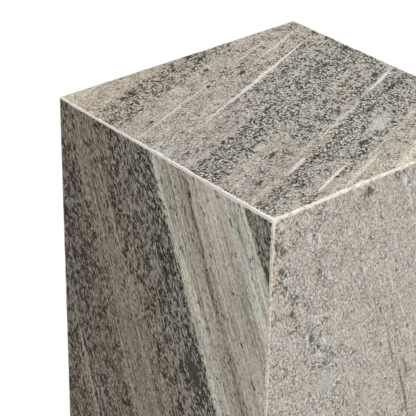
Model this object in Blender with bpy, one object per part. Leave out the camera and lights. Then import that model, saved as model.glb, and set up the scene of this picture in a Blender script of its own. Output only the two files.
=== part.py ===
"""A marble plinth block: five honed stone slabs mitred into a square column, open underneath.

Metres, +Z up. The origin is on the floor, at the middle of the footprint. Each outer corner is
closed by cream resin, which fills the groove where two mitred slabs meet and shows as a pale line.
"""

import math

import bmesh
import bpy
from mathutils import Vector

# Driving dimensions of the block, in metres
SIDE = 0.300
HEIGHT = 0.510
SLAB_THICKNESS = 0.020
RESIN_REACH = 0.0020
ARRIS_RADIUS = 0.0006
ARRIS_SEGMENTS = 3
CLEARANCE = 0.0003

# How far the groove cutter stands outside the block
CUTTER_MARGIN = 0.010

STONE_COLOUR = (0.33, 0.29, 0.245, 1.0)
STONE_ROUGHNESS = 0.55
RESIN_COLOUR = (0.74, 0.67, 0.56, 1.0)
RESIN_ROUGHNESS = 0.45

# The outward direction of each outer face of the block
UP = Vector((0, 0, 1))
OUTWARD = {
    "front": Vector((0, -1, 0)),
    "right": Vector((1, 0, 0)),
    "back": Vector((0, 1, 0)),
    "left": Vector((-1, 0, 0)),
    "top": UP,
}


def clear_scene():
    for old in list(bpy.data.objects):
        bpy.data.objects.remove(old, do_unlink=True)


def new_collection(name):
    collection = bpy.data.collections.new(name)
    bpy.context.scene.collection.children.link(collection)
    return collection


def principled(name, colour, roughness):
    material = bpy.data.materials.new(name)
    material.use_nodes = True
    shader = material.node_tree.nodes["Principled BSDF"]
    shader.inputs["Base Color"].default_value = colour
    shader.inputs["Roughness"].default_value = roughness
    shader.inputs["Metallic"].default_value = 0.0
    return material


def reach_of(normal):
    """The distance from the origin to the block's outer face on that side."""
    return HEIGHT if normal == UP else SIDE / 2


def neighbours_of(normal):
    """The outward directions of the faces that share an edge with this one."""
    return [other for other in OUTWARD.values() if abs(other.dot(normal)) < 0.5]


def edge_pairs():
    """Each pair of outer faces that meet along one of the eight resin-filled edges."""
    faces = list(OUTWARD.values())
    return [
        (first, second)
        for index, first in enumerate(faces)
        for second in faces[index + 1 :]
        if abs(first.dot(second)) < 0.5
    ]


def box_mesh(low, high):
    """A box between two corners, from Blender's cube."""
    mesh = bmesh.new()
    bmesh.ops.create_cube(mesh, size=1.0)
    size = high - low
    bmesh.ops.scale(mesh, vec=size, verts=mesh.verts)
    bmesh.ops.translate(mesh, vec=(low + high) / 2, verts=mesh.verts)
    return mesh


def saw(mesh, direction, limit):
    """Keeps what lies at or below limit along direction, which need not be of unit length."""
    bmesh.ops.bisect_plane(
        mesh,
        geom=mesh.verts[:] + mesh.edges[:] + mesh.faces[:],
        plane_co=direction * (limit / direction.length_squared),
        plane_no=direction.normalized(),
        clear_outer=True,
    )
    rim = [edge for edge in mesh.edges if edge.is_boundary]
    bmesh.ops.edgeloop_fill(mesh, edges=rim)


def add_object(name, mesh, material, collection):
    data = bpy.data.meshes.new(name)
    bmesh.ops.recalc_face_normals(mesh, faces=mesh.faces)
    mesh.to_mesh(data)
    mesh.free()
    data.materials.append(material)
    obj = bpy.data.objects.new(name, data)
    collection.objects.link(obj)
    return obj


def block_corners():
    return Vector((-SIDE / 2, -SIDE / 2, 0)), Vector((SIDE / 2, SIDE / 2, HEIGHT))


def make_slab(side, material, collection):
    """One slab: sawn to thickness, mitred against its neighbours and nicked along each outer edge."""
    normal = OUTWARD[side]
    reach = reach_of(normal)
    mesh = box_mesh(*block_corners())
    saw(mesh, -normal, SLAB_THICKNESS - reach)
    mitre_step = CLEARANCE / math.sqrt(2)
    groove_step = RESIN_REACH + CLEARANCE * math.sqrt(2)
    for other in neighbours_of(normal):
        other_reach = reach_of(other)
        saw(mesh, other - normal, other_reach - reach - mitre_step)
        saw(mesh, other + normal, other_reach + reach - groove_step)
    return add_object(side + "_slab", mesh, material, collection)


def make_groove_cutter(material, collection):
    """The block's body behind the resin: a larger box, planed off at 45 degrees along each edge."""
    low, high = block_corners()
    margin = Vector((CUTTER_MARGIN,) * 3)
    mesh = box_mesh(low - margin, high + margin)
    for first, second in edge_pairs():
        saw(mesh, first + second, reach_of(first) + reach_of(second) - RESIN_REACH)
    cutter = add_object("groove_cutter", mesh, material, collection)
    cutter.hide_render = True
    cutter.display_type = "WIRE"
    return cutter


def make_resin(material, collection, cutter):
    """The resin in the eight edges, one casting: the block's eased outline less all behind it."""
    mesh = box_mesh(*block_corners())
    eased = [
        edge
        for edge in mesh.edges
        if max(vertex.co.z for vertex in edge.verts) > HEIGHT / 2
    ]
    bmesh.ops.bevel(
        mesh,
        geom=eased,
        offset=ARRIS_RADIUS,
        segments=ARRIS_SEGMENTS,
        profile=0.5,
        affect="EDGES",
    )
    resin = add_object("joint_resin", mesh, material, collection)
    hollow = resin.modifiers.new("hollow", "BOOLEAN")
    hollow.operation = "DIFFERENCE"
    hollow.object = cutter
    hollow.solver = "EXACT"
    return resin


def main():
    clear_scene()
    block = new_collection("marble_plinth")
    cutters = new_collection("cutters")
    stone = principled("honed_marble", STONE_COLOUR, STONE_ROUGHNESS)
    cream = principled("cream_resin", RESIN_COLOUR, RESIN_ROUGHNESS)
    for side in OUTWARD:
        make_slab(side, stone, block)
    cutter = make_groove_cutter(cream, cutters)
    make_resin(cream, block, cutter)


main()
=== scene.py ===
"""The looks of the marble plinth block: dressed stone slabs, the cream resin in their mitre joints,
the studio and the camera.

Lengths are in metres, except where a name or comment says mm. Each slab has its own sheet of stone,
described in millimetres on that face, and each one's bedding stops at the resin.
"""

import math
from dataclasses import dataclass

import bmesh
import bpy
from mathutils import Matrix, Vector, noise
from mathutils.geometry import delaunay_2d_cdt


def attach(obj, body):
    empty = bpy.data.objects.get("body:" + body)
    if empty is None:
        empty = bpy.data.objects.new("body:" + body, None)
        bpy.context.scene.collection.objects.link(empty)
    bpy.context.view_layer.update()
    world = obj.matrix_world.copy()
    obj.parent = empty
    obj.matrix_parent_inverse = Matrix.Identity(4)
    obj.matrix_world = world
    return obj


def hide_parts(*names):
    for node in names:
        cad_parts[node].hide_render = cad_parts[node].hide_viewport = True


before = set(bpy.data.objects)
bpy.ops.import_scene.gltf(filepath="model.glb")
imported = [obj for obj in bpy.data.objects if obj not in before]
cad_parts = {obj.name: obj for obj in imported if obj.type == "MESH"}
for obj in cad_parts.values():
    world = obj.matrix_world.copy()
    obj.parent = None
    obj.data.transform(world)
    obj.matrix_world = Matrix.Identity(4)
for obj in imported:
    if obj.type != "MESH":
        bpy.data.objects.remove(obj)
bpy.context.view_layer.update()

MM = 0.001

# The block, in mm
SIDE = 300.0
HEIGHT = 510.0
SLAB_THICKNESS = 20.0
MITRE_GAP = 0.1

# The resin line and the arris along each edge, in mm. A wander is how far the resin's border strays,
# and a wave the length over which it does.
RESIN_REACH = 2.0
RESIN_STEP = 1.0
SLOW_WANDER = 0.7
SLOW_WAVE = 9.0
QUICK_WANDER = 0.6
QUICK_WAVE = 2.6
ARRIS_RADIUS = 1.1
ARRIS_WEAR = 0.3
ARRIS_WAVE = 6.0
ARRIS_SEGMENTS = 3
CORNER_RADIUS = 1.2

# Where an edge's evenly spaced rings begin, in mm from a top corner
RING_MARGIN = 3.0

# The honed faces, in mm. The dips fade out within HONING_FADE of the rim.
FACE_STEP = 4.0
INNER_STEP = 16.0
HONING_DIP = 0.12
HONING_WAVE = 28.0
HONING_FADE = 12.0

# The chips along each side slab's sawn lower edge: their mean depth in mm, how much that varies, how
# many waves of it there are along the edge, and how fast it fades in from each end
CHIP_DEPTH = 0.35
CHIP_SWING = 0.25
CHIP_WAVES = 60
CHIP_FADE = 8

# The space between a rim and the grid inside it, in grid steps
GRID_MARGIN = 0.75

# Points of the outline nearer than this are the same corner, and of an arc the same tip, in mm
SAME_CORNER = 1.0
SAME_TIP = 1e-4

# Edges sharper than this are shaded as sharp, in degrees
SHARP_ANGLE = 32


class Face:
    """One outer face. It has a corner where its two directions start, "across" from the left edge and
    "down" from the top edge as seen from outside; "into" points into the stone.
    """

    def __init__(self, corner, across, down, width, height):
        self.corner = Vector(corner)
        self.across = Vector(across)
        self.down = Vector(down)
        self.into = self.across.cross(self.down)
        self.width = width
        self.height = height

    def point(self, across, down, depth=0.0):
        """A point of the row frame, in mm, from the face's own coordinates."""
        return self.corner + self.across * across + self.down * down + self.into * depth

    def flat(self, point):
        """The face's own (across, down) of a point of the row frame."""
        place = point - self.corner
        return place.dot(self.across), place.dot(self.down)


HALF = SIDE / 2
FACES = {
    "top": Face((-HALF, HALF, HEIGHT), (1, 0, 0), (0, -1, 0), SIDE, SIDE),
    "left": Face((-HALF, HALF, HEIGHT), (0, -1, 0), (0, 0, -1), SIDE, HEIGHT),
    "front": Face((-HALF, -HALF, HEIGHT), (1, 0, 0), (0, 0, -1), SIDE, HEIGHT),
    "right": Face((HALF, -HALF, HEIGHT), (0, 1, 0), (0, 0, -1), SIDE, HEIGHT),
    "back": Face((HALF, HALF, HEIGHT), (-1, 0, 0), (0, 0, -1), SIDE, HEIGHT),
}


class Edge:
    """The resin line along one edge of the block. "first" and "second" are the faces that meet there.
    "away" is, for each of the two, the direction on that face that leads away from the edge.
    """

    def __init__(self, name, start, end, first, second, reaches, seed):
        self.name = name
        self.reaches = reaches
        self.start = Vector(start)
        self.end = Vector(end)
        self.length = (self.end - self.start).length
        self.along = (self.end - self.start).normalized()
        self.faces = (first, second)
        self.away = {first: FACES[second].into, second: FACES[first].into}
        self.seed = seed

    def reach(self, face, place):
        """How far the resin reaches onto a face, in mm, at a place along the edge."""
        seed = self.seed + (7.0 if face == self.faces[1] else 0.0)
        slow = noise.noise(Vector((place / SLOW_WAVE, seed, 0.3)))
        quick = noise.noise(Vector((place / QUICK_WAVE, seed, 5.7)))
        share = place / self.length
        reach = self.reaches[0] * (1 - share) + self.reaches[1] * share
        reach += SLOW_WANDER * slow + QUICK_WANDER * quick
        for patch_place, patch_length, patch_reach in RESIN_PATCHES.get((self.name, face), ()):
            distance = (place - patch_place) / patch_length
            reach += patch_reach * math.exp(-distance * distance)
        return reach

    def radius(self, place):
        """The arris radius there, in mm: the edge is a little more worn in some places."""
        wear = noise.noise(Vector((place / ARRIS_WAVE, self.seed, 9.1)))
        return ARRIS_RADIUS + ARRIS_WEAR * max(0.0, wear)

    def border(self, face, place):
        """The point where resin and stone meet on a face."""
        return self.start + self.along * place + self.away[face] * self.reach(face, place)

    def arc(self, place, radius):
        """The points of the rounded arris, from the first face to the second."""
        first, second = (self.away[face] for face in self.faces)
        centre = self.start + self.along * place + (first + second) * radius
        angles = [math.pi / 2 * step / ARRIS_SEGMENTS for step in range(ARRIS_SEGMENTS + 1)]
        return [
            centre - second * (radius * math.cos(angle)) - first * (radius * math.sin(angle))
            for angle in angles
        ]

    def middle(self, place):
        """The middle of the groove's floor."""
        first, second = self.faces
        return (self.border(first, place) + self.border(second, place)) / 2


# Cream patches where a chip was filled, and some narrower places, as (edge, face): (place along the
# edge, length, extra reach), in mm
RESIN_PATCHES = {
    ("front_top", "top"): ((5.0, 5.0, 0.9), (78.0, 6.0, 1.3), (104.0, 9.0, 1.8), (158.0, 6.0, 1.4)),
    ("front_top", "front"): ((4.0, 3.0, 0.8), (22.0, 4.0, 0.6)),
    ("left_top", "top"): ((8.0, 5.0, 1.6), (150.0, 14.0, 0.5), (294.0, 5.0, 1.0)),
    ("left_top", "left"): ((240.0, 20.0, 0.5),),
    ("back_top", "top"): ((120.0, 8.0, 1.1),),
    ("left_front", "front"): ((30.0, 5.0, 0.9), (4.0, 3.0, 1.0)),
    ("left_front", "left"): ((70.0, 20.0, -0.6), (200.0, 40.0, -0.4)),
}

L_CORNER = (-HALF, HALF, HEIGHT)
F_CORNER = (-HALF, -HALF, HEIGHT)
R_CORNER = (HALF, -HALF, HEIGHT)
B_CORNER = (HALF, HALF, HEIGHT)
EDGES = {
    edge.name: edge
    for edge in (
        Edge("left_top", L_CORNER, F_CORNER, "top", "left", (1.5, 2.7), 11.0),
        Edge("front_top", F_CORNER, R_CORNER, "top", "front", (2.3, 2.0), 23.0),
        Edge("right_top", R_CORNER, B_CORNER, "top", "right", (2.0, 1.9), 37.0),
        Edge("back_top", B_CORNER, L_CORNER, "top", "back", (1.9, 1.6), 41.0),
        Edge("left_front", F_CORNER, (-HALF, -HALF, 0), "left", "front", (2.2, 2.2), 53.0),
        Edge("front_right", R_CORNER, (HALF, -HALF, 0), "front", "right", (2.0, 2.1), 67.0),
        Edge("right_back", B_CORNER, (HALF, HALF, 0), "right", "back", (2.1, 1.9), 71.0),
        Edge("back_left", L_CORNER, (-HALF, HALF, 0), "back", "left", (1.7, 2.0), 89.0),
    )
}


def edges_at(corner):
    """The three edges that meet at a top corner of the block."""
    return [
        edge
        for edge in EDGES.values()
        if min((edge.start - corner).length, (edge.end - corner).length) < SAME_CORNER
    ]


def corner_place(corner, edge):
    """The end of an edge that is at a corner, as a place along the edge."""
    return 0.0 if (edge.start - corner).length < SAME_CORNER else edge.length


def corner_border(corner, face):
    """The point on a face where its two resin borders cross, near a corner of the block."""
    point = corner
    for edge in edges_at(corner):
        if face in edge.faces:
            point = point + edge.away[face] * edge.reach(face, corner_place(corner, edge))
    return point


def is_upright(edge):
    return edge.end.z == 0


def upright_at(corner):
    return next(edge for edge in edges_at(corner) if is_upright(edge))


def stations(edge):
    """Places along an edge, in mm, from just past one corner to just before the other or the floor."""
    end = edge.length if is_upright(edge) else edge.length - RING_MARGIN
    count = round((end - RING_MARGIN) / RESIN_STEP)
    return [RING_MARGIN + (end - RING_MARGIN) * step / count for step in range(count + 1)]


def add_object(name, data):
    added = bpy.data.objects.new(name, data)
    bpy.context.scene.collection.objects.link(added)
    return added


def finish_mesh(name, mesh, material):
    data = bpy.data.meshes.new(name)
    bmesh.ops.scale(mesh, vec=(MM, MM, MM), verts=mesh.verts)
    bmesh.ops.recalc_face_normals(mesh, faces=mesh.faces)
    mesh.to_mesh(data)
    mesh.free()
    data.materials.append(material)
    data.shade_smooth()
    data.set_sharp_from_angle(angle=math.radians(SHARP_ANGLE))
    return add_object(name, data)


# Resin


def corner_middle(corner):
    """The point deepest in the groove, where the three grooves of a corner meet."""
    faces = sorted({face for edge in edges_at(corner) for face in edge.faces})
    outer = sum((corner_border(corner, face) for face in faces), Vector()) / 3
    inward = -(Vector((corner.x, corner.y, 0)).normalized() * math.sqrt(2) + Vector((0, 0, 1)))
    return outer + inward * (RESIN_REACH / 2 - RESIN_REACH * 2 / 3)


def corner_arc(corner, edge):
    """The edge's arris where it runs into the rounded tip of a corner."""
    inset = CORNER_RADIUS if corner_place(corner, edge) == 0.0 else edge.length - CORNER_RADIUS
    return edge.arc(inset, CORNER_RADIUS)


def corner_ring(edge, corner):
    """The last ring of an edge's resin, cut at a slant so that three edges meet in one corner."""
    first, second = (corner_border(corner, face) for face in edge.faces)
    return [first] + corner_arc(corner, edge) + [second, corner_middle(corner)]


def resin_ring(edge, place):
    first, second = (edge.border(face, place) for face in edge.faces)
    return [first] + edge.arc(place, edge.radius(place)) + [second, edge.middle(place)]


def corner_tip(corner):
    """The rounded tip of a corner, as nine triangles between the three arcs."""
    edges = edges_at(corner)
    arcs = [corner_arc(corner, edge) for edge in edges]
    tips = []
    for arc in arcs:
        for end in (arc[0], arc[-1]):
            if all((end - tip).length > SAME_TIP for tip in tips):
                tips.append(end)
    a, b, c = tips
    ab, bc, ca = (arc_between(arcs, *pair) for pair in ((a, b), (b, c), (c, a)))
    middle = (ab[1] + ab[2] + bc[1] + bc[2] + ca[1] + ca[2]) / 6
    inward = sum((edge.away[face] for edge in edges for face in edge.faces), Vector())
    ball = corner + inward * (CORNER_RADIUS / 2)
    middle = ball + (middle - ball).normalized() * CORNER_RADIUS
    rows = ((a,), (ab[1], ca[2]), (ab[2], middle, ca[1]), (b, bc[1], bc[2], c))
    triangles = []
    for above, below in zip(rows, rows[1:]):
        for index, point in enumerate(above):
            triangles.append((point, below[index], below[index + 1]))
        for index in range(1, len(above)):
            triangles.append((above[index - 1], below[index], above[index]))
    return triangles


def arc_between(arcs, start, end):
    """The arc that joins two tips, turned so that it begins at the first of them."""
    for arc in arcs:
        for way in (arc, arc[::-1]):
            if (way[0] - start).length < SAME_TIP and (way[-1] - end).length < SAME_TIP:
                return way
    raise ValueError("no arc joins these tips")


def make_resin(material):
    mesh = bmesh.new()
    known = {}

    def vertex(point):
        key = tuple(round(value, 4) for value in point)
        if key not in known:
            known[key] = mesh.verts.new(point)
        return known[key]

    def face(points):
        vertices = [vertex(point) for point in points]
        if len(set(vertices)) == len(vertices):
            mesh.faces.new(vertices)

    for edge in EDGES.values():
        rings = [corner_ring(edge, edge.start)]
        rings += [resin_ring(edge, place) for place in stations(edge)]
        if is_upright(edge):
            face(rings[-1])
        else:
            rings.append(corner_ring(edge, edge.end))
        for here, there in zip(rings, rings[1:]):
            for index in range(len(here)):
                after = (index + 1) % len(here)
                face([here[index], here[after], there[after], there[index]])
    for corner in (L_CORNER, F_CORNER, R_CORNER, B_CORNER):
        for triangle in corner_tip(Vector(corner)):
            face(triangle)
    return finish_mesh("resin_joint", mesh, material)


# Slabs


def rim_side(face_name, edge):
    """The slab's rim along one edge, in the edge's order: (border point, groove point) pairs."""
    other = edge.faces[1] if edge.faces[0] == face_name else edge.faces[0]
    gap = (edge.away[face_name] - edge.away[other]).normalized() * MITRE_GAP
    return [(edge.border(face_name, place), edge.middle(place) + gap) for place in stations(edge)]


def rim_corner(face_name, corner):
    inward = FACES[face_name].into
    border = corner_border(corner, face_name)
    deep = corner_middle(corner)
    flat = border - deep
    flat -= inward * flat.dot(inward)
    return border, deep + flat.normalized() * (MITRE_GAP * 2) - inward * MITRE_GAP


def rim_foot(face, right, left):
    """The slab's lower edge, right to left: its outer arris is a little chipped by the saw."""
    count = round(face.width / RESIN_STEP / 2)
    points = []
    for step in range(1, count):
        share = step / count
        border = right[0].lerp(left[0], share)
        groove = right[1].lerp(left[1], share)
        wave = noise.noise(Vector((share * CHIP_WAVES, face.corner.x, face.corner.y)))
        ends = min(1.0, CHIP_FADE * share, CHIP_FADE * (1 - share))
        points.append((border - face.down * ((CHIP_DEPTH + CHIP_SWING * wave) * ends), groove))
    return points


def slab_rim(face_name):
    """The slab's rim: a list of (border point, groove point) pairs once round the face."""
    if face_name == "top":
        rim = []
        for name in ("left_top", "front_top", "right_top", "back_top"):
            rim.append(rim_corner(face_name, EDGES[name].start))
            rim += rim_side(face_name, EDGES[name])
        return rim
    face = FACES[face_name]
    start = face.point(0, 0)
    end = face.point(face.width, 0)
    top_edge = EDGES[face_name + "_top"]
    top = rim_side(face_name, top_edge)
    if corner_place(start, top_edge) > 0:
        top.reverse()
    left, right = (rim_side(face_name, upright_at(corner)) for corner in (start, end))
    foot = rim_foot(face, right[-1], left[-1])
    top = [rim_corner(face_name, start)] + top + [rim_corner(face_name, end)]
    return top + right + foot + left[::-1]


def inner_point(face, groove):
    """The rim's point on the slab's inner surface, straight behind the groove along the mitre."""
    across, down = face.flat(groove)
    spread = (SLAB_THICKNESS - MITRE_GAP) - (groove - face.corner).dot(face.into)
    foot_spread = spread if face.height == face.width else 0.0
    across = squeeze(across, face.width, spread, spread)
    down = squeeze(down, face.height, spread, foot_spread)
    return face.point(across, down, SLAB_THICKNESS)


def squeeze(value, length, start, end):
    """Moves a value between 0 and length in proportion, so that the ends move in by start and end."""
    return value + start - value * (start + end) / length


def honed_depth(face, across, down, edge_distance):
    """How far the honed surface dips below the true plane at a point, in mm."""
    wave = 0.5 + 0.5 * noise.noise(face.point(across, down) / HONING_WAVE)
    return HONING_DIP * wave * min(1.0, edge_distance / HONING_FADE)


def inner_depth(face, across, down, edge_distance):
    """The depth of the slab's flat inner surface, in mm."""
    return SLAB_THICKNESS


def fill(mesh, face, rim, step, depth_at):
    """Fills a closed rim with triangles over an even grid of points, at the depths of depth_at."""
    flat = [face.flat(vertex.co) for vertex in rim]
    low = [min(point[axis] for point in flat) for axis in (0, 1)]
    high = [max(point[axis] for point in flat) for axis in (0, 1)]
    inside = []
    margin = GRID_MARGIN * step
    rows = int((high[1] - low[1] - 2 * margin) / step) + 1
    columns = int((high[0] - low[0] - 2 * margin) / step) + 1
    for row in range(rows + 1):
        down = low[1] + margin + (high[1] - low[1] - 2 * margin) * row / rows
        for column in range(columns + 1):
            across = low[0] + margin + (high[0] - low[0] - 2 * margin) * column / columns
            inside.append((across, down))
    points = [Vector(point) for point in flat + inside]
    ring = [(index, (index + 1) % len(rim)) for index in range(len(rim))]
    found, _, triangles, origins, _, _ = delaunay_2d_cdt(points, ring, [], 1, 1e-5)
    vertices = []
    for point, origin in zip(found, origins):
        if origin and origin[0] < len(rim):
            vertices.append(rim[origin[0]])
        else:
            edge_distance = min(point.x - low[0], high[0] - point.x, point.y - low[1], high[1] - point.y)
            depth = depth_at(face, point.x, point.y, edge_distance)
            vertices.append(mesh.verts.new(face.point(point.x, point.y, depth)))
    for triangle in triangles:
        mesh.faces.new([vertices[index] for index in triangle])


def make_slab(face_name, material):
    face = FACES[face_name]
    mesh = bmesh.new()
    rim = slab_rim(face_name)
    outer = [mesh.verts.new(border) for border, _ in rim]
    groove = [mesh.verts.new(point) for _, point in rim]
    inner = [mesh.verts.new(inner_point(face, point)) for _, point in rim]
    for here, there in ((outer, groove), (groove, inner)):
        for index in range(len(rim)):
            after = (index + 1) % len(rim)
            mesh.faces.new([here[index], here[after], there[after], there[index]])
    fill(mesh, face, outer, FACE_STEP, honed_depth)
    fill(mesh, face, inner, INNER_STEP, inner_depth)
    return finish_mesh("dressed_" + face_name, mesh, material)


# Materials


class Nodes:
    """The nodes of one material. Each method takes sockets or plain values and returns a socket."""

    def __init__(self, name):
        self.material = bpy.data.materials.new(name)
        self.material.use_nodes = True
        self.tree = self.material.node_tree
        self.shader = self.tree.nodes["Principled BSDF"]

    def node(self, kind, inputs, **settings):
        node = self.tree.nodes.new(kind)
        for name, value in settings.items():
            setattr(node, name, value)
        for socket, value in inputs.items():
            if isinstance(value, bpy.types.NodeSocket):
                self.tree.links.new(value, node.inputs[socket])
            else:
                node.inputs[socket].default_value = value
        return node

    def math(self, operation, *values, clamp=False):
        inputs = dict(enumerate(values))
        return self.node("ShaderNodeMath", inputs, operation=operation, use_clamp=clamp).outputs[0]

    def plus(self, first, second):
        return self.math("ADD", first, second)

    def minus(self, first, second):
        return self.math("SUBTRACT", first, second)

    def times(self, first, second, clamp=False):
        return self.math("MULTIPLY", first, second, clamp=clamp)

    def line(self, value, slope, start, clamp=False):
        """start + slope * value"""
        return self.math("MULTIPLY_ADD", value, slope, start, clamp=clamp)

    def vector(self, operation, *values):
        node = self.node("ShaderNodeVectorMath", dict(enumerate(values)), operation=operation)
        return node.outputs["Value" if operation in ("DOT_PRODUCT", "LENGTH") else "Vector"]

    def join(self, x, y, z):
        return self.node("ShaderNodeCombineXYZ", {0: x, 1: y, 2: z}).outputs[0]

    def ease(self, value, low, high, to_low=0.0, to_high=1.0):
        """From to_low to to_high, along a smooth step, as value goes from low to high."""
        return self.ramp(value, low, high, to_low, to_high, kind="SMOOTHSTEP")

    def ramp(self, value, low, high, to_low=0.0, to_high=1.0, kind="LINEAR"):
        """The same, along a straight line unless kind says otherwise."""
        node = self.node(
            "ShaderNodeMapRange",
            {"Value": value, "From Min": low, "From Max": high, "To Min": to_low, "To Max": to_high},
            interpolation_type=kind,
        )
        return node.outputs["Result"]

    def noise(self, place, scale, detail=2.0, roughness=0.55):
        inputs = {"Vector": place, "Scale": scale, "Detail": detail, "Roughness": roughness}
        return self.node("ShaderNodeTexNoise", inputs).outputs["Fac"]

    def grains(self, place, scale):
        """Three random values for each grain, as one colour."""
        return self.node("ShaderNodeTexVoronoi", {"Vector": place, "Scale": scale}).outputs["Color"]

    def scale(self, colour, factor):
        node = self.node("ShaderNodeVectorMath", {"Scale": factor, 0: colour}, operation="SCALE")
        return node.outputs["Vector"]

    def split(self, colour):
        return self.node("ShaderNodeSeparateColor", {0: colour}).outputs

    def mix(self, share, first, second):
        node = self.node("ShaderNodeMix", {}, data_type="RGBA")
        for socket, value in ((node.inputs[0], share), (node.inputs[6], first), (node.inputs[7], second)):
            if isinstance(value, bpy.types.NodeSocket):
                self.tree.links.new(value, socket)
            elif isinstance(value, tuple):
                socket.default_value = (*value, 1.0)
            else:
                socket.default_value = value
        return node.outputs[2]

    def steps(self, value, stops):
        """A colour ramp through (position, colour) stops."""
        node = self.node("ShaderNodeValToRGB", {"Fac": value})
        ramp = node.color_ramp
        ramp.interpolation = "LINEAR"
        while len(ramp.elements) < len(stops):
            ramp.elements.new(0.5)
        for element, (position, colour) in zip(ramp.elements, stops):
            element.position = position
            element.color = (*colour, 1.0)
        return node.outputs["Color"]

    def bump(self, height, distance, strength):
        inputs = {"Height": height, "Distance": distance, "Strength": strength}
        return self.node("ShaderNodeBump", inputs).outputs["Normal"]

    def wire(self, socket, value):
        self.tree.links.new(value, self.shader.inputs[socket])


# The stone's tones
CREAM = (0.56, 0.50, 0.40)
TAN = (0.440, 0.386, 0.308)
SAND = (0.408, 0.365, 0.310)
GREIGE = (0.380, 0.346, 0.303)
FLINT = (0.325, 0.297, 0.262)
DUN = (0.350, 0.306, 0.240)
UMBER = (0.222, 0.183, 0.138)
BARK = (0.295, 0.250, 0.194)
SLATE = (0.285, 0.256, 0.219)
CELADON = (0.62, 0.595, 0.50)
ICE_GREEN = (0.65, 0.628, 0.535)
OAT = (0.552, 0.50, 0.42)
CREAM_OAT = (0.595, 0.54, 0.455)
DRAB = (0.430, 0.382, 0.320)
ROSE = (0.472, 0.424, 0.372)
DARK_GRAIN = (0.046, 0.034, 0.021)
GREEN_GRAIN = (0.062, 0.063, 0.045)
SOOT = (0.036, 0.031, 0.025)
CLOT_GREEN = (0.105, 0.108, 0.084)
PALE_GRAIN = (0.70, 0.69, 0.66)
VEIN_WHITE = (0.80, 0.77, 0.70)
EYE_GREEN = (0.50, 0.51, 0.46)
MOSS = (0.20, 0.205, 0.165)
LICHEN = (0.14, 0.135, 0.105)
FROST = (0.74, 0.74, 0.72)
ASH = (0.43, 0.43, 0.40)
SAW_DUST = (0.46, 0.44, 0.41)
STREAK_TINT = (0.21, 0.18, 0.15)
WARM_TINT = (1.03, 1.0, 0.95)
COOL_TINT = (0.98, 1.0, 1.03)


@dataclass
class Texture:
    """How the grain of one slab looks."""

    stretch: float  # how much longer grains are along the bedding than across it
    laminae: float  # how strongly the thin laminae show
    contrast: float  # how far light and dark grains differ in dark beds
    calm: float  # the same in pale beds, as a share of contrast
    sugar: float  # how much the finest grains glitter
    clumping: float  # how much the dark grains gather in clumps
    softness: float  # how wide the border of a dark speck is, in noise values
    dark_cover: float  # how fully dark grains hide the bed's tone
    dark_tint: tuple  # what the dark grains' tones are multiplied by
    pale_share: float  # pale crystals outside the dark beds
    whiteness: float  # how white the pale crystals are


@dataclass
class Ovals:
    """Ovals of one tone in a slab, each (run, place, half length, half width), in mm."""

    tone: tuple
    strength: float
    ovals: tuple


@dataclass
class Stone:
    """The bedding of one slab. Places are mm on the face; a place across the bedding is
    cross + slope * run, where run is "across" on the top slab and "down" on the side slabs.
    """

    slope: float
    fan: float  # how much the beds spread, as a share per mm of run
    fade: tuple  # the run where the beds' first share of dark grains ends and the second begins
    beds: tuple  # (place, tone, share of dark grains near the start of the run, share near its end)
    texture: Texture
    veins: tuple = ()  # pale lines: (from, to along the run, place, half width, strength)
    streaks: tuple = ()  # dark lines, in the same form
    stains: tuple = ()  # Ovals under the grain
    knots: tuple = ()  # Ovals over the grain


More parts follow.
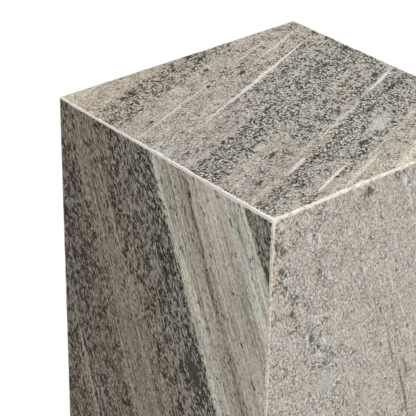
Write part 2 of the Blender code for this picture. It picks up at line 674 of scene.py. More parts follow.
TOP_STONE = Stone(
    slope=0.4, fan=0.0, fade=(90.0, 150.0),
    beds=(
        (0, CREAM, 0.01, 0.01), (14, CREAM, 0.01, 0.01), (21, TAN, 0.03, 0.03), (46, TAN, 0.06, 0.08),
        (53, SAND, 0.12, 0.14), (57, DUN, 0.6, 0.32), (86, DUN, 0.53, 0.43), (91, SAND, 0.12, 0.22),
        (98, DRAB, 0.02, 0.12), (114, SAND, 0.07, 0.2), (123, SAND, 0.1, 0.26), (131, SAND, 0.1, 0.16),
        (150, SAND, 0.12, 0.24), (158, GREIGE, 0.15, 0.4), (188, GREIGE, 0.18, 0.54),
        (196, SLATE, 0.78, 1.0), (211, SLATE, 0.8, 1.0), (219, GREIGE, 0.5, 0.85), (231, SAND, 0.06, 0.42),
        (246, GREIGE, 0.14, 0.52), (258, FLINT, 0.18, 0.6), (264, SAND, 0.05, 0.14),
        (272, SAND, 0.05, 0.44), (277, SLATE, 0.52, 1.0), (287, SLATE, 0.5, 1.0), (293, GREIGE, 0.4, 0.64),
        (301, GREIGE, 0.22, 0.34), (316, GREIGE, 0.28, 0.58), (322, SAND, 0.08, 0.18),
        (332, DRAB, 0.06, 0.12), (344, DRAB, 0.08, 0.12), (356, OAT, 0.02, 0.03),
    ),
    veins=(
        (56, 300, 155.5, 2.2, 1.0), (96, 250, 155.8, 2.7, 1.0), (0, 140, 116.5, 1.8, 0.5),
        (170, 245, 117.0, 1.6, 0.5), (195, 300, 133.5, 2.4, 0.6), (0, 60, 20.0, 1.6, 0.5),
        (60, 102, 273.5, 2.6, 0.8), (130, 220, 269.0, 2.2, 0.6), (232, 298, 267.0, 2.2, 0.95),
        (56, 126, 312.5, 2.0, 0.95), (80, 160, 330.0, 3.2, 0.5),
    ),
    streaks=(
        (138, 182, 163.5, 1.2, 1.0), (222, 252, 257.5, 1.0, 0.9), (0, 30, 220.5, 0.8, 0.8),
        (172, 200, 278.0, 1.8, 0.9), (198, 232, 285.0, 2.2, 0.9), (244, 292, 284.0, 2.6, 0.9),
        (90, 118, 281.5, 2.0, 0.8), (138, 162, 280.0, 1.6, 0.8),
    ),
    knots=(
        Ovals(GREEN_GRAIN, 0.95, (
            (58, 60.5, 4.5, 4), (44, 58.5, 3.5, 3), (71, 30.5, 3.5, 2.5), (160, 79, 7, 3.5),
            (156, 66, 6, 4), (148, 97.5, 4.5, 2.5), (125, 119, 3, 2.5), (172, 134, 6, 3),
            (78, 244, 5.5, 3.5), (34, 258, 5.5, 3), (270, 257, 5, 3.5), (247, 201, 5.5, 4),
            (197, 195, 3, 2.5), (292, 202, 6, 4), (155, 307.5, 3.5, 3), (35, 109, 3, 2),
        )),
        Ovals(EYE_GREEN, 0.95, ((199, 304, 17.5, 6.5), (12, 155, 8.5, 3.5))),
    ),
    texture=Texture(
        stretch=1.0, laminae=1.0, contrast=1.2, calm=0.85, sugar=0.85, clumping=1.2, softness=0.055,
        dark_cover=0.98, dark_tint=(0.72, 0.72, 0.72), pale_share=0.05, whiteness=0.7,
    ),
)

LEFT_STONE = Stone(
    slope=-0.36, fan=0.0005, fade=(110.0, 260.0),
    beds=(
        (-140, UMBER, 0.52, 0.52), (-76, UMBER, 0.54, 0.5), (-62, BARK, 0.6, 0.5), (-53, UMBER, 0.72, 0.5),
        (-44, UMBER, 0.82, 0.54), (-30, UMBER, 0.64, 0.46), (-14, UMBER, 0.5, 0.4), (-2, UMBER, 0.56, 0.4),
        (3, BARK, 0.46, 0.34), (8, BARK, 0.36, 0.22), (20, BARK, 0.2, 0.1), (36, BARK, 0.26, 0.12),
        (46, BARK, 0.24, 0.14), (54, BARK, 0.42, 0.28), (68, BARK, 0.54, 0.43), (82, BARK, 0.6, 0.5),
        (94, SLATE, 0.46, 0.46), (107, SLATE, 0.54, 0.7), (115, SLATE, 0.84, 0.76),
        (132, SLATE, 0.84, 0.66), (137, CELADON, 0.03, 0.03), (146, CELADON, 0.02, 0.03),
        (154, OAT, 0.03, 0.05), (164, OAT, 0.06, 0.1), (173, DRAB, 0.12, 0.16), (180, DRAB, 0.14, 0.16),
        (187, OAT, 0.01, 0.03), (211, CREAM_OAT, 0.01, 0.02), (224, OAT, 0.02, 0.02),
        (238, ICE_GREEN, 0.01, 0.01), (263, ICE_GREEN, 0.01, 0.02), (266, SLATE, 0.52, 0.52),
    ),
    veins=(
        (0, 170, 22, 1.4, 0.3), (0, 205, 45, 1.7, 0.3), (150, 320, 41, 3.2, 0.16),
        (195, 400, -59.5, 1.4, 0.42), (240, 420, -44, 1.2, 0.3), (190, 300, 9, 1.0, 0.3),
        (200, 260, 61, 0.8, 0.35), (30, 260, 216, 2.6, 0.35), (0, 110, 204, 1.6, 0.3),
    ),
    streaks=(
        (4, 28, 184, 1.8, 0.8), (8, 85, 180.5, 2.9, 0.75), (60, 150, 178, 3.2, 0.6),
        (120, 420, 177, 3.2, 0.55), (2, 44, 157, 1.5, 0.5), (30, 95, 154, 1.7, 0.6),
        (80, 160, 157.5, 1.7, 0.5), (135, 240, 164, 2.2, 0.45), (200, 420, 168, 1.8, 0.35),
        (5, 60, 191, 1.2, 0.3), (5, 120, 222, 1.7, 0.45), (60, 300, 164, 3.0, 0.2),
    ),
    stains=(Ovals(MOSS, 0.75, ((97, -9, 8, 7),)),),
    knots=(
        Ovals(GREEN_GRAIN, 0.95, ((205, 116, 18, 10.5), (120, 85, 4, 5), (32, 30, 2.5, 4.5))),
        Ovals(SOOT, 0.85, (
            (71, 98, 3.5, 3.2), (16, 82, 2.5, 2.5), (59, 43, 3.5, 1.6), (25, 236, 5, 1.7), (88, 115, 4, 4),
            (103, 110, 5, 4.5), (116, 111, 6, 7), (98, 5, 5, 3), (117, -36, 5, 6), (142, -39, 5, 4),
            (163, -38, 9, 3), (142, -10, 4, 6), (168, 6, 3, 4), (170, -52, 5, 4), (212, -35, 6, 3),
            (290, -40, 5, 3), (232, 68, 4, 3), (252, 80, 4, 4),
        )),
    ),
    texture=Texture(
        stretch=2.2, laminae=1.9, contrast=0.85, calm=0.23, sugar=0.3, clumping=0.75, softness=0.11,
        dark_cover=1.0, dark_tint=(0.6, 0.51, 0.43), pale_share=0.03, whiteness=0.3,
    ),
)

FRONT_STONE = Stone(
    slope=-0.3, fan=0.0, fade=(70.0, 130.0),
    beds=(
        (-160, ROSE, 0.14, 0.14), (-48, ROSE, 0.2, 0.16), (-14, ROSE, 0.22, 0.16), (-8, ROSE, 0.34, 0.18),
        (4, ROSE, 0.24, 0.2), (14, ROSE, 0.22, 0.32), (28, ROSE, 0.2, 0.28), (40, ROSE, 0.2, 0.14),
        (52, ROSE, 0.18, 0.1), (66, ROSE, 0.14, 0.08), (100, ROSE, 0.12, 0.1), (122, ROSE, 0.07, 0.07),
        (150, ROSE, 0.1, 0.09), (162, ROSE, 0.2, 0.12), (300, ROSE, 0.12, 0.12),
    ),
    veins=(
        (18, 50, 155.5, 2.2, 0.8), (95, 135, 115, 1.2, 0.5), (125, 165, 121.5, 1.3, 0.55),
        (155, 220, 126, 1.4, 0.55), (20, 120, 129, 0.9, 0.35), (60, 170, 101, 0.9, 0.35),
    ),
    streaks=(
        (86, 135, 83, 1.2, 0.4), (112, 168, 91, 1.4, 0.55), (150, 215, 98.5, 1.5, 0.6),
        (205, 300, 104, 2.0, 0.8), (205, 240, 112, 2.0, 0.8), (120, 230, 109, 1.2, 0.35),
    ),
    stains=(
        Ovals(LICHEN, 0.75, (
            (28, -1.4, 6, 5), (34, 2.8, 4, 3), (52, -0.6, 4, 3), (90, 3, 7, 6), (103, -2.9, 4, 5),
            (70, 34, 4, 4), (12, 109, 6, 6), (7, 145, 7, 4), (30, 156, 5, 2.5), (137, 12, 3, 3.5),
            (165, 22.5, 3.5, 3), (122, 11.5, 3, 3),
        )),
        Ovals(ASH, 0.55, ((55, 5.5, 13, 4), (80, 2, 13, 4), (150, 20, 26, 9), (128, 17, 16, 8))),
    ),
    knots=(
        Ovals(EYE_GREEN, 0.8, ((193, 12, 10, 10),)),
        Ovals(CLOT_GREEN, 0.85, (
            (29, -4, 6, 2.3), (35, 1, 3.5, 1.8), (55, -4, 4.5, 2.4), (60, -1, 3, 1.6), (72, -3.4, 3, 2.2),
            (102, -4, 4, 2.4), (137, 10, 3, 2.2), (150, 16, 3, 1.8), (175, 124.5, 3, 2), (10, 108, 4, 1.8),
            (13, 103, 3, 1.4),
        )),
        Ovals(FROST, 0.75, (
            (33, 33, 5, 2.6), (37, 44, 5.5, 1.8), (15, 152.5, 5, 2.5), (92, 86.4, 6, 2), (10, 7, 4, 2.5),
            (146, 24, 3, 2), (160, 16, 3, 2), (134, 6, 3, 2),
        )),
    ),
    texture=Texture(
        stretch=1.3, laminae=0.5, contrast=0.8, calm=0.7, sugar=0.6, clumping=0.95, softness=0.1,
        dark_cover=0.72, dark_tint=(1.0, 1.0, 1.0), pale_share=0.12, whiteness=0.7,
    ),
)

RIGHT_STONE = Stone(
    slope=-0.24, fan=0.0, fade=(140, 330),
    beds=(
        (-130, SAND, 0.2, 0.2), (-84, GREIGE, 0.55, 0.48), (-58, GREIGE, 0.3, 0.4), (-34, SAND, 0.1, 0.16),
        (-10, ROSE, 0.16, 0.14), (34, ROSE, 0.14, 0.18), (52, GREIGE, 0.3, 0.24), (60, GREIGE, 0.74, 0.6),
        (76, GREIGE, 0.62, 0.66), (86, SAND, 0.16, 0.3), (118, SAND, 0.08, 0.1), (150, OAT, 0.05, 0.06),
        (168, SAND, 0.14, 0.12), (196, GREIGE, 0.42, 0.3), (216, GREIGE, 0.66, 0.44),
        (230, SAND, 0.14, 0.2), (262, ROSE, 0.12, 0.16), (310, ROSE, 0.2, 0.14),
    ),
    veins=(
        (0, 240, 136, 2.2, 0.8), (180, 460, 24, 2, 0.6), (60, 300, 184, 1.6, 0.5),
        (260, 510, 110, 1.8, 0.6),
    ),
    streaks=(
        (20, 160, 90, 1.6, 0.5), (240, 480, 92, 1.8, 0.5), (300, 500, -44, 1.6, 0.6),
    ),
    stains=(Ovals(MOSS, 0.6, ((120, 66, 12, 7), (330, -70, 10, 6), (430, 70, 9, 5))),),
    knots=(
        Ovals(GREEN_GRAIN, 0.9, ((60, 70, 7, 4), (210, 212, 8, 5), (300, 64, 6, 4), (96, 20, 4, 3))),
        Ovals(EYE_GREEN, 0.7, ((260, 160, 12, 6),)),
    ),
    texture=Texture(
        stretch=1.4, laminae=0.9, contrast=1.0, calm=0.7, sugar=0.75, clumping=0.9, softness=0.07,
        dark_cover=0.9, dark_tint=(0.8, 0.78, 0.74), pale_share=0.07, whiteness=0.6,
    ),
)

BACK_STONE = Stone(
    slope=-0.42, fan=0.0, fade=(120, 380),
    beds=(
        (-220, GREIGE, 0.4, 0.46), (-176, GREIGE, 0.6, 0.5), (-150, BARK, 0.3, 0.26),
        (-104, BARK, 0.46, 0.4), (-92, SLATE, 0.72, 0.66), (-72, SLATE, 0.6, 0.54),
        (-66, CELADON, 0.06, 0.05), (-44, OAT, 0.06, 0.08), (-30, DRAB, 0.16, 0.2), (-18, OAT, 0.05, 0.06),
        (10, SAND, 0.1, 0.12), (42, GREIGE, 0.34, 0.28), (64, GREIGE, 0.7, 0.58), (82, GREIGE, 0.4, 0.46),
        (98, SAND, 0.1, 0.2), (140, TAN, 0.08, 0.1), (158, SAND, 0.22, 0.2), (180, GREIGE, 0.6, 0.7),
        (204, GREIGE, 0.44, 0.52), (222, SAND, 0.12, 0.12), (310, TAN, 0.08, 0.06),
    ),
    veins=(
        (40, 330, 122, 2.4, 0.8), (0, 150, 30, 1.8, 0.5), (200, 510, 20, 1.8, 0.6),
        (260, 480, -140, 1.8, 0.6),
    ),
    streaks=(
        (60, 420, -28, 3, 0.6), (0, 180, 152, 1.6, 0.5), (300, 500, 60, 1.6, 0.6),
    ),
    stains=(Ovals(MOSS, 0.6, ((90, 190, 12, 8), (300, 74, 10, 6))),),
    knots=(
        Ovals(GREEN_GRAIN, 0.9, ((70, 186, 8, 5), (180, 74, 7, 4), (340, -88, 10, 6), (420, 60, 6, 4))),
    ),
    texture=Texture(
        stretch=1.6, laminae=1.2, contrast=1.1, calm=0.5, sugar=0.8, clumping=0.9, softness=0.07,
        dark_cover=0.95, dark_tint=(0.72, 0.7, 0.66), pale_share=0.05, whiteness=0.5,
    ),
)

STONES = {
    "top": TOP_STONE,
    "left": LEFT_STONE,
    "front": FRONT_STONE,
    "right": RIGHT_STONE,
    "back": BACK_STONE,
}


# How far the bedding shifts with depth into the slab, mm per mm
BED_DIP = 0.6

# How far apart the slabs' grain patterns are taken, and two steps aside within a slab, in mm
SEED_STEP = 37.0
ASIDE = (71.0, 23.0, 11.0)
FURTHER_ASIDE = (13.0, 57.0, 31.0)

# How wavy the beds are and how far the grain frays their borders, with the size of each wave, in mm.
# A wave is longer along the beds: there it runs at SLOW_SHARE of its pace across them.
SLOW_SHARE = 0.35
WAVE = 6.0
WAVE_SIZE = 26
RIPPLE = 5.0
RIPPLE_SIZE = 5
FRAY = 6.0

# The same for the ovals, veins and streaks
WOBBLE = 5.0
WOBBLE_SIZE = 9

# The lowest s of a layered noise's values, for s up to a half, lie below NOISE_LOW + NOISE_SPAN * s
NOISE_LOW = 0.388
NOISE_SPAN = 0.235

# The size of the grains and patterns, in mm
SUGAR_SIZE = 1.1
CRYSTAL_SIZE = 1.5
SPECK_SIZE = 2.3
FLECK_SIZE = 2.6
LAMINA_SIZE = 3.4
CLOT_SIZE = 6.0
HUE_SIZE = 11.0
CLOUD_SIZE = 15.0

# The depth in mm at which the honed face's look gives way to the sawn one
SAWN_DEPTH = 1.2

STONE_RELIEF = 0.05
STONE_SPECULAR = 0.05


class Marble(Nodes):
    """The marble of one slab, built up step by step, from its beds to its finest marks."""

    def __init__(self, name, face, stone, seed):
        super().__init__(name)
        self.stone = stone
        self.texture = stone.texture
        self.find_places(face, seed)
        self.make_grains()
        self.lay_beds()
        self.stain()
        self.shade_grains()
        self.add_dark_grains()
        self.add_sugar()
        self.tint()
        self.add_pale_grains()
        self.add_knots()
        self.add_lines()
        self.finish()

    def nearest(self, ovals):
        """The distance to the nearest of several ovals: 0 at a middle, 1 on a rim."""
        best = None
        for run, bed, half_length, half_width in ovals:
            offset = self.vector("SUBTRACT", self.plane, (run, bed, 0.0))
            scaled = self.vector("MULTIPLY", offset, (1 / half_length, 1 / half_width, 0.0))
            distance = self.vector("LENGTH", scaled)
            best = distance if best is None else self.math("MINIMUM", best, distance)
        return best

    def lines(self, marks):
        """How strongly any of several thin tapering lines shows at a point, 0 to 1."""
        total = None
        for start, end, bed, half_width, strength in marks:
            oval = ((start + end) / 2, bed, (end - start) / 2, half_width)
            shown = self.ease(self.nearest((oval,)), 1.1, 0.55, 0.0, strength)
            total = shown if total is None else self.math("MAXIMUM", total, shown)
        return total

    def bed_values(self, position, column):
        """A colour ramp through one column of the beds; a number becomes a grey."""
        beds = self.stone.beds
        low = beds[0][0]
        span = beds[-1][0] - low
        stops = []
        for bed in beds:
            value = bed[column]
            stops.append(((bed[0] - low) / span, value if isinstance(value, tuple) else (value,) * 3))
        return self.steps(position, stops)

    def below_share(self, value, share, softness):
        """1 where a noise value is among its lowest share, with a soft border, and 0 elsewhere."""
        limit = self.line(share, NOISE_SPAN, NOISE_LOW)
        under = self.minus(limit, value)
        return self.line(under, 1 / softness, 0.5, clamp=True)

    def find_places(self, face, seed):
        """Coordinates in mm: run, place across the bedding, depth, and place along the bedding."""
        stone = self.stone
        place = self.node("ShaderNodeTexCoord", {}).outputs["Object"]
        offset = self.vector("SUBTRACT", place, tuple(face.corner * MM))
        across = self.vector("DOT_PRODUCT", offset, tuple(face.across / MM))
        down = self.vector("DOT_PRODUCT", offset, tuple(face.down / MM))
        is_top = face.height == face.width
        self.run, cross = (across, down) if is_top else (down, across)
        self.depth = self.vector("DOT_PRODUCT", offset, tuple(face.into / MM))
        bed = self.line(self.run, stone.slope, cross)
        if stone.fan:
            bed = self.math("DIVIDE", bed, self.line(self.run, stone.fan, 1.0))
        self.bed = self.line(self.depth, BED_DIP, bed)
        along = self.line(cross, -stone.slope, self.run)
        self.along = self.plus(along, seed * SEED_STEP)
        self.slow = self.join(self.times(self.along, SLOW_SHARE), self.bed, self.depth)
        wobble = self.line(self.noise(self.slow, 1 / WOBBLE_SIZE, detail=3.0), WOBBLE, -WOBBLE / 2)
        self.plane = self.join(self.run, self.plus(self.bed, wobble), 0.0)

    def make_grains(self):
        """The random values of the grain, from single crystals to clouds some mm across."""
        squeezed = self.times(self.along, 1 / self.texture.stretch)
        self.space = self.join(squeezed, self.bed, self.depth)
        aside = self.vector("ADD", self.space, ASIDE)
        self.crystals = self.split(self.grains(self.space, 1 / CRYSTAL_SIZE))
        self.sugar = self.split(self.grains(aside, 1 / SUGAR_SIZE))
        self.mottle = self.noise(self.space, 1 / SPECK_SIZE, detail=4.0, roughness=0.7)
        self.clots = self.noise(aside, 1 / CLOT_SIZE, detail=5.0, roughness=0.66)
        self.flecks = self.noise(aside, 1 / FLECK_SIZE, detail=3.0, roughness=0.7)
        self.cloud = self.noise(self.space, 1 / CLOUD_SIZE, detail=3.0, roughness=0.6)

    def lay_beds(self):
        """The beds' tones and shares of dark grains: a little wavy, with ragged borders."""
        beds = self.stone.beds
        wave = self.noise(self.slow, 1 / WAVE_SIZE, detail=2.0)
        ripple = self.noise(self.slow, 1 / RIPPLE_SIZE, detail=2.0)
        warped = self.line(wave, WAVE, self.bed)
        warped = self.line(ripple, RIPPLE, warped)
        warped = self.line(self.flecks, FRAY, warped)
        self.warped = self.minus(warped, (WAVE + RIPPLE + FRAY) / 2)
        position = self.ramp(self.warped, beds[0][0], beds[-1][0])
        self.tone = self.bed_values(position, 1)
        fade = self.ease(self.run, *self.stone.fade)
        share = self.mix(fade, self.bed_values(position, 2), self.bed_values(position, 3))
        swing = 0.55 * self.texture.clumping
        patchy = self.ramp(self.cloud, 0.36, 0.64, 1 + swing, 1 - swing)
        self.dark_share = self.times(share, patchy)

    def by_darkness(self, pale_bed, dark_bed):
        """A value that goes from pale_bed in the calm pale beds to dark_bed in the dark ones."""
        return self.ramp(self.dark_share, 0.03, 0.4, pale_bed, dark_bed)

    def cover(self, share, tone):
        """Lays a tone over the stone's colour where share is above 0."""
        self.colour = self.mix(share, self.colour, tone)

    def stain(self):
        for stain in self.stone.stains:
            distance = self.nearest(stain.ovals)
            distance = self.line(self.clots, 2.4, distance)
            share = self.ease(distance, 2.5, 1.7, 0.0, stain.strength)
            self.tone = self.mix(share, self.tone, stain.tone)

    def laminae(self):
        """Thin lighter and darker laminae along the bedding, fainter in the dark beds."""
        strength = self.texture.laminae
        stretched = self.times(self.along, 0.03)
        space = self.join(stretched, self.warped, self.times(self.depth, 0.2))
        value = self.noise(space, 1 / LAMINA_SIZE, detail=4.0, roughness=0.65)
        lamina = self.ramp(value, 0.36, 0.62, -0.32 * strength, 0.24 * strength)
        return self.times(lamina, self.by_darkness(0.75, 0.65))

    def shade_grains(self):
        """Lighter and darker grains, stronger where the bed is dark."""
        texture = self.texture
        shade = self.line(self.crystals[1], 0.45, -0.225)
        for value, strength in ((self.mottle, 2.8), (self.flecks, -2.0), (self.cloud, 1.5)):
            centred = self.minus(value, 0.5)
            shade = self.line(centred, strength, shade)
        gain = self.by_darkness(texture.calm * texture.contrast, texture.contrast)
        shade = self.line(shade, gain, 1.0)
        shade = self.plus(shade, self.laminae())
        self.shade = self.math("MAXIMUM", shade, 0.25)
        self.colour = self.scale(self.tone, self.shade)

    def add_dark_grains(self):
        """Dark specks that gather in clumps, and dark clots with greener cores."""
        texture = self.texture
        swing = 0.8 * texture.clumping
        clump = self.ramp(self.clots, 0.41, 0.59, 1.05 + swing, 1.05 - swing)
        speck_share = self.math("MINIMUM", self.times(self.dark_share, clump), 0.78)
        loose = self.ramp(self.dark_share, 0.06, 0.5, 0.03, 0.08)
        scatter = self.times(self.minus(self.crystals[0], 0.5), loose)
        self.specks = self.plus(self.mottle, scatter)
        small = self.below_share(self.specks, speck_share, texture.softness)
        clot_gain = 0.42 + 0.2 * texture.clumping
        clot_share = self.line(self.dark_share, clot_gain, -0.09)
        clot = self.below_share(self.clots, clot_share, 0.03)
        clot = self.times(clot, self.ease(self.flecks, 0.58, 0.50, 0.25, 1.0))
        core = self.below_share(self.clots, self.minus(clot_share, 0.10), 0.03)
        self.dark = self.math("MAXIMUM", small, clot)
        tone = self.mix(self.ease(self.cloud, 0.42, 0.58), DARK_GRAIN, GREEN_GRAIN)
        tone = self.mix(self.times(core, 0.6), tone, CLOT_GREEN)
        tone = self.vector("MULTIPLY", tone, texture.dark_tint)
        tone = self.scale(tone, self.ramp(self.crystals[2], 0.0, 1.0, 0.1, 2.1))
        self.cover(self.times(self.dark, texture.dark_cover), tone)

    def add_sugar(self):
        """The glitter of the finest grains, dark or pale."""
        texture = self.texture
        gain = self.by_darkness(0.25 * texture.sugar * texture.calm, 0.25 * texture.sugar)
        spread = self.line(self.sugar[0], 2.0, -1.0)
        self.colour = self.scale(self.colour, self.line(spread, gain, 1.0))

    def tint(self):
        """Slightly warmer and cooler places."""
        space = self.vector("ADD", self.space, FURTHER_ASIDE)
        hue = self.noise(space, 1 / HUE_SIZE, detail=3.0, roughness=0.6)
        warm = self.vector("MULTIPLY", self.colour, WARM_TINT)
        cool = self.vector("MULTIPLY", self.colour, COOL_TINT)
        self.colour = self.mix(self.ramp(hue, 0.38, 0.62), cool, warm)

    def add_pale_grains(self):
        """Pale crystals, more of them among the dark ones."""
        texture = self.texture
        share = self.line(self.dark_share, 0.26, texture.pale_share)
        sparkle = self.line(self.sugar[1], -0.09, 1.045)
        pale = self.below_share(self.minus(sparkle, self.flecks), share, 0.03)
        tone = self.scale(self.mix(texture.whiteness, self.tone, PALE_GRAIN), 1.3)
        self.cover(self.times(pale, 0.8), tone)

    def add_knots(self):
        for knot in self.stone.knots:
            distance = self.nearest(knot.ovals)
            distance = self.line(self.specks, 3.6, distance)
            share = self.ease(distance, 2.95, 2.6, 0.0, knot.strength)
            tone = self.scale(knot.tone, self.line(self.shade, 0.6, 0.4))
            self.cover(share, tone)

    def add_lines(self):
        """Dark streaks and pale veins, both a little broken up by the grain."""
        grainy = self.ease(self.specks, 0.56, 0.44, 0.6, 1.0)
        streak = self.times(self.lines(self.stone.streaks), grainy)
        filter_tone = self.mix(streak, (1.0, 1.0, 1.0), STREAK_TINT)
        self.colour = self.vector("MULTIPLY", self.colour, filter_tone)
        broken = self.ease(self.flecks, 0.44, 0.54, 0.6, 1.0)
        vein = self.times(self.lines(self.stone.veins), broken)
        self.cover(vein, VEIN_WHITE)

    def finish(self):
        """Wires the shader: honed on the outer face, and dusty with saw lines on all the others."""
        sawn = self.ease(self.depth, SAWN_DEPTH * 0.6, SAWN_DEPTH * 1.4)
        kerf_space = self.join(self.times(self.run, 0.9), self.bed, self.depth)
        kerf_space = self.vector("MULTIPLY", kerf_space, (1.0, 0.02, 0.02))
        kerf = self.noise(kerf_space, 1.0, detail=2.0)
        dust = self.scale(SAW_DUST, self.ramp(kerf, 0.35, 0.65, 0.85, 1.1))
        self.wire("Base Color", self.mix(self.times(sawn, 0.5), self.colour, dust))
        honed_roughness = self.ramp(self.crystals[2], 0.0, 1.0, 0.48, 0.66)
        honed_roughness = self.line(self.dark, -0.08, honed_roughness)
        self.wire("Roughness", self.line(sawn, 0.25, honed_roughness))
        height = self.line(self.dark, -0.6, self.crystals[0])
        height = self.line(self.times(kerf, sawn), 6.0, height)
        self.wire("Normal", self.bump(height, STONE_RELIEF * MM, 0.5))
        self.shader.inputs["Specular IOR Level"].default_value = STONE_SPECULAR


# The resin's tones, from its dullest patches to its palest: (noise value, colour)
RESIN_TONES = ((0.36, (0.66, 0.58, 0.47)), (0.50, (0.84, 0.78, 0.70)), (0.62, (0.96, 0.90, 0.82)))

# Painted highlight: how much paler the resin between the top and left slabs is painted, in noise values
LEFT_TOP_HIGHLIGHT = 0.22

# Painted shade: the resin in the upright joints is painted duller than in the top's, as they catch less
# light
UPRIGHT_SHADE_TINT = (0.94, 0.90, 0.85)
# The tint of the mottled grime, which is stronger in the upright joints, where it is partly painted shade
GRIME_AND_SHADE_TINT = (0.70, 0.60, 0.47)
RESIN_DUST = (0.42, 0.36, 0.29)

# Where the resin turns into the painted shade of the upright joints, in mm below the top, and where the
# painted highlight on the resin between the top and left slabs ends, in mm from the left face
UPRIGHT_START, UPRIGHT_END = 3.0, 14.0
LEFT_TOP_START, LEFT_TOP_END = 3.0, 5.0

# How fine the resin's patterns are, in cycles per metre
PATCH_SCALE = 160.0
GRIME_SCALE = 380.0
DUST_SCALE = 900.0
PORE_SCALE = 1100.0

RESIN_RELIEF = 0.06
RESIN_SPECULAR = 0.35


def cream_resin():
    nodes = Nodes("cream_resin")
    place = nodes.node("ShaderNodeTexCoord", {}).outputs["Object"]
    sides = nodes.node("ShaderNodeSeparateXYZ", {0: place}).outputs
    below = nodes.ease(sides[2], (HEIGHT - UPRIGHT_START) * MM, (HEIGHT - UPRIGHT_END) * MM)
    near, far = (LEFT_TOP_START - HALF) * MM, (LEFT_TOP_END - HALF) * MM
    # Painted highlight: the resin between the top and left slabs is painted paler
    painted_highlight = nodes.ease(sides[0], near, far, LEFT_TOP_HIGHLIGHT, 0.0)
    painted_highlight = nodes.times(painted_highlight, nodes.minus(1.0, below))
    patch = nodes.noise(place, PATCH_SCALE, detail=3.0)
    tone = nodes.steps(nodes.plus(patch, painted_highlight), RESIN_TONES)
    speck = nodes.split(nodes.grains(place, DUST_SCALE))
    dust = nodes.times(nodes.minus(speck[0], 0.86), 7.0, clamp=True)
    colour = nodes.mix(nodes.times(dust, 0.45), tone, RESIN_DUST)
    # Painted shade: the resin of the upright joints is painted darker
    colour = nodes.mix(below, colour, nodes.vector("MULTIPLY", colour, UPRIGHT_SHADE_TINT))
    grime_and_shade = nodes.ease(nodes.noise(place, GRIME_SCALE, detail=3.0), 0.50, 0.62)
    # Grime mottle, much stronger in the upright joints, where it adds painted shade
    grime_and_shade = nodes.times(grime_and_shade, nodes.line(below, 0.6, 0.15))
    colour = nodes.mix(grime_and_shade, colour, nodes.vector("MULTIPLY", colour, GRIME_AND_SHADE_TINT))
    nodes.wire("Base Color", colour)
    nodes.wire("Roughness", nodes.ramp(patch, 0.3, 0.7, 0.40, 0.58))
    pores = nodes.noise(place, PORE_SCALE, detail=2.0)
    nodes.wire("Normal", nodes.bump(pores, RESIN_RELIEF * MM, 0.5))
    nodes.shader.inputs["Specular IOR Level"].default_value = RESIN_SPECULAR
    return nodes.material


# Studio

FLOOR_RADIUS = 14.0
FLOOR_SEGMENTS = 96
FLOOR_DROP = 0.0005
FLOOR_GLOW = 0.72
FLOOR_TONES = ((0.3, (0.48, 0.48, 0.48)), (0.7, (0.52, 0.52, 0.52)))
WHITE = (1.0, 1.0, 1.0, 1.0)
WORLD_STRENGTH = 0.22

# The point the lamps face, and each lamp as (name, place, size, power in watts)
LAMP_TARGET = (0.0, 0.0, 0.35)
LAMPS = (("overhead", (0.6, -0.5, 3.2), 2.4, 74.0), ("side", (1.6, -3.0, 1.6), 1.8, 20.0))


def make_floor():
    nodes = Nodes("pale_floor")
    place = nodes.node("ShaderNodeTexCoord", {}).outputs["Object"]
    mottle = nodes.noise(place, 3.0, detail=3.0)
    nodes.wire("Base Color", nodes.steps(mottle, FLOOR_TONES))
    nodes.shader.inputs["Roughness"].default_value = 0.9
    nodes.shader.inputs["Specular IOR Level"].default_value = 0.1
    nodes.shader.inputs["Emission Color"].default_value = WHITE
    nodes.shader.inputs["Emission Strength"].default_value = FLOOR_GLOW
    mesh = bmesh.new()
    bmesh.ops.create_circle(mesh, cap_ends=True, segments=FLOOR_SEGMENTS, radius=FLOOR_RADIUS)
    data = bpy.data.meshes.new("floor")
    mesh.to_mesh(data)
    mesh.free()
    data.materials.append(nodes.material)
    floor = add_object("floor", data)
    floor.location.z = -FLOOR_DROP


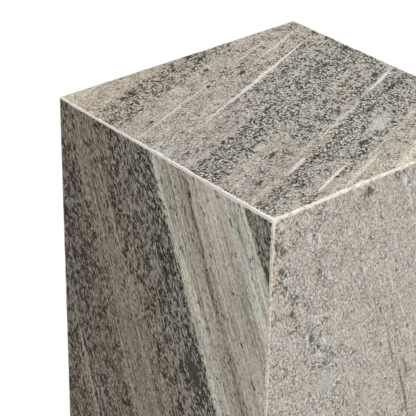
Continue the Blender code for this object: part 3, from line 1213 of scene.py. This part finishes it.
def make_world():
    world = bpy.data.worlds.new("studio")
    bpy.context.scene.world = world
    world.use_nodes = True
    background = world.node_tree.nodes["Background"]
    background.inputs["Color"].default_value = WHITE
    background.inputs["Strength"].default_value = WORLD_STRENGTH


def make_lamp(name, place, size, power):
    data = bpy.data.lights.new(name, "AREA")
    data.shape = "DISK"
    data.size = size
    data.energy = power
    lamp = add_object(name, data)
    lamp.location = place
    lamp.rotation_euler = (Vector(LAMP_TARGET) - Vector(place)).to_track_quat("-Z", "Y").to_euler()


# Camera: the photo's viewpoint, found from the block's own corners and edges in the photo

CAMERA_PLACE = (-0.9432, -0.9929, 1.1698)
CAMERA_YAW = 40.611
CAMERA_PITCH = 29.303
CAMERA_ROLL = -0.995
CAMERA_LENS = 140.86
CAMERA_SENSOR = 36.0
CAMERA_NEAR = 0.05


def make_camera():
    data = bpy.data.cameras.new("photo_camera")
    data.sensor_width = CAMERA_SENSOR
    data.lens = CAMERA_LENS
    data.clip_start = CAMERA_NEAR
    camera = add_object("photo_camera", data)
    yaw = math.radians(CAMERA_YAW)
    pitch = math.radians(CAMERA_PITCH)
    roll = math.radians(CAMERA_ROLL)
    forward = Vector((math.sin(yaw) * math.cos(pitch), math.cos(yaw) * math.cos(pitch), -math.sin(pitch)))
    right = Vector((math.cos(yaw), -math.sin(yaw), 0.0))
    down = forward.cross(right)
    rolled_right = right * math.cos(roll) + down * math.sin(roll)
    rolled_down = down * math.cos(roll) - right * math.sin(roll)
    turn = Matrix((rolled_right, -rolled_down, -forward)).transposed()
    camera.matrix_world = Matrix.Translation(CAMERA_PLACE) @ turn.to_4x4()
    bpy.context.scene.camera = camera


def dress(piece, node):
    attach(piece, "root")
    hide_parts(node)


def main():
    bpy.context.scene.view_settings.view_transform = "Standard"
    for seed, face_name in enumerate(("top", "left", "front", "right", "back"), start=1):
        marble = Marble("marble_" + face_name, FACES[face_name], STONES[face_name], seed)
        dress(make_slab(face_name, marble.material), face_name + "_slab")
    dress(make_resin(cream_resin()), "joint_resin")
    make_floor()
    make_world()
    for lamp in LAMPS:
        make_lamp(*lamp)
    make_camera()


main()
